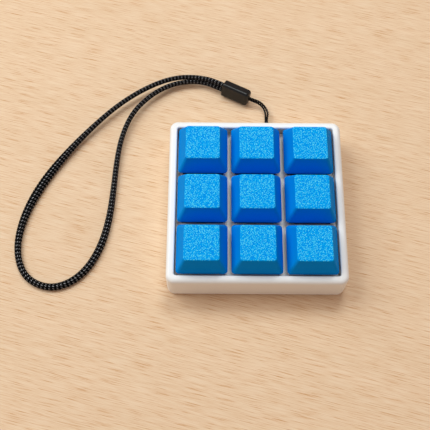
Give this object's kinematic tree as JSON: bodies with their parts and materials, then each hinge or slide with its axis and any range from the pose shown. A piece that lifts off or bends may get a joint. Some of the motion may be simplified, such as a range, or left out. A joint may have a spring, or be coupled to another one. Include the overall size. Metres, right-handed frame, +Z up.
{
  "type": "macro keypad",
  "caption": "Square desktop macro keypad: blue tapered keys that press down and spring back in a white moulded frame, a USB socket at the rear and a braided wrist cord.",
  "frame": {"origin": "middle of the case's footprint, on the desk that the rubber feet stand on", "axes": "+X to the right of the person at the keys, +Y to the rear wall with the USB socket, +Z up"},
  "size_m": [0.1182, 0.0897, 0.0206],
  "materials": {
    "case_white": "satin",
    "plate_white": "satin",
    "cover_white": "matte",
    "keycap_blue": "fine grained top",
    "stem_grey": "satin",
    "switch_black": "matte",
    "spring_steel": "bright wire",
    "contact_brass": "stamped",
    "board_green": "solder mask",
    "chip_black": "moulded",
    "usb_steel": "plated",
    "screw_steel": "plated",
    "foot_rubber": "matte",
    "sleeve_black": "satin",
    "cord_black": "twisted",
    "braid_black": "braided"
  },
  "bodies": {
    "base": {"case_shell": "case_white", "switch_plate": "plate_white", "bottom_cover": "cover_white", "cover_screws": "screw_steel", "rubber_feet": "foot_rubber", "circuit_board": "board_green", "microcontroller": "chip_black", "diodes": "chip_black", "switch_sockets": "switch_black", "contact_blades": "contact_brass", "usb_receptacle": "usb_steel", "usb_tongue": "chip_black", "cord_sleeve": "sleeve_black", "thin_cord": "cord_black", "wrist_cord": "braid_black", "spring_front_left": "spring_steel", "lower_housing_front_left": "switch_black", "upper_housing_front_left": "switch_black", "spring_front_centre": "spring_steel", "lower_housing_front_centre": "switch_black", "upper_housing_front_centre": "switch_black", "spring_front_right": "spring_steel", "lower_housing_front_right": "switch_black", "upper_housing_front_right": "switch_black", "spring_middle_left": "spring_steel", "lower_housing_middle_left": "switch_black", "upper_housing_middle_left": "switch_black", "spring_middle_centre": "spring_steel", "lower_housing_middle_centre": "switch_black", "upper_housing_middle_centre": "switch_black", "spring_middle_right": "spring_steel", "lower_housing_middle_right": "switch_black", "upper_housing_middle_right": "switch_black", "spring_back_left": "spring_steel", "lower_housing_back_left": "switch_black", "upper_housing_back_left": "switch_black", "spring_back_centre": "spring_steel", "lower_housing_back_centre": "switch_black", "upper_housing_back_centre": "switch_black", "spring_back_right": "spring_steel", "lower_housing_back_right": "switch_black", "upper_housing_back_right": "switch_black"},
    "key_front_left": {"keycap_front_left": "keycap_blue", "stem_front_left": "stem_grey"},
    "key_front_centre": {"keycap_front_centre": "keycap_blue", "stem_front_centre": "stem_grey"},
    "key_front_right": {"keycap_front_right": "keycap_blue", "stem_front_right": "stem_grey"},
    "key_middle_left": {"keycap_middle_left": "keycap_blue", "stem_middle_left": "stem_grey"},
    "key_middle_centre": {"keycap_middle_centre": "keycap_blue", "stem_middle_centre": "stem_grey"},
    "key_middle_right": {"keycap_middle_right": "keycap_blue", "stem_middle_right": "stem_grey"},
    "key_back_left": {"keycap_back_left": "keycap_blue", "stem_back_left": "stem_grey"},
    "key_back_centre": {"keycap_back_centre": "keycap_blue", "stem_back_centre": "stem_grey"},
    "key_back_right": {"keycap_back_right": "keycap_blue", "stem_back_right": "stem_grey"}
  },
  "joints": [
    {"name": "press_front_left", "type": "slide", "parent": "base", "child": "key_front_left", "axis": [0, 0, -1], "range_m": [0, 0.003], "stiffness_N_per_m": 100, "springref_m": -0.003, "deforming": ["spring_front_left"]},
    {"name": "press_front_centre", "type": "slide", "parent": "base", "child": "key_front_centre", "axis": [0, 0, -1], "range_m": [0, 0.003], "stiffness_N_per_m": 100, "springref_m": -0.003, "deforming": ["spring_front_centre"]},
    {"name": "press_front_right", "type": "slide", "parent": "base", "child": "key_front_right", "axis": [0, 0, -1], "range_m": [0, 0.003], "stiffness_N_per_m": 100, "springref_m": -0.003, "deforming": ["spring_front_right"]},
    {"name": "press_middle_left", "type": "slide", "parent": "base", "child": "key_middle_left", "axis": [0, 0, -1], "range_m": [0, 0.003], "stiffness_N_per_m": 100, "springref_m": -0.003, "deforming": ["spring_middle_left"]},
    {"name": "press_middle_centre", "type": "slide", "parent": "base", "child": "key_middle_centre", "axis": [0, 0, -1], "range_m": [0, 0.003], "stiffness_N_per_m": 100, "springref_m": -0.003, "deforming": ["spring_middle_centre"]},
    {"name": "press_middle_right", "type": "slide", "parent": "base", "child": "key_middle_right", "axis": [0, 0, -1], "range_m": [0, 0.003], "stiffness_N_per_m": 100, "springref_m": -0.003, "deforming": ["spring_middle_right"]},
    {"name": "press_back_left", "type": "slide", "parent": "base", "child": "key_back_left", "axis": [0, 0, -1], "range_m": [0, 0.003], "stiffness_N_per_m": 100, "springref_m": -0.003, "deforming": ["spring_back_left"]},
    {"name": "press_back_centre", "type": "slide", "parent": "base", "child": "key_back_centre", "axis": [0, 0, -1], "range_m": [0, 0.003], "stiffness_N_per_m": 100, "springref_m": -0.003, "deforming": ["spring_back_centre"]},
    {"name": "press_back_right", "type": "slide", "parent": "base", "child": "key_back_right", "axis": [0, 0, -1], "range_m": [0, 0.003], "stiffness_N_per_m": 100, "springref_m": -0.003, "deforming": ["spring_back_right"]}
  ]
}
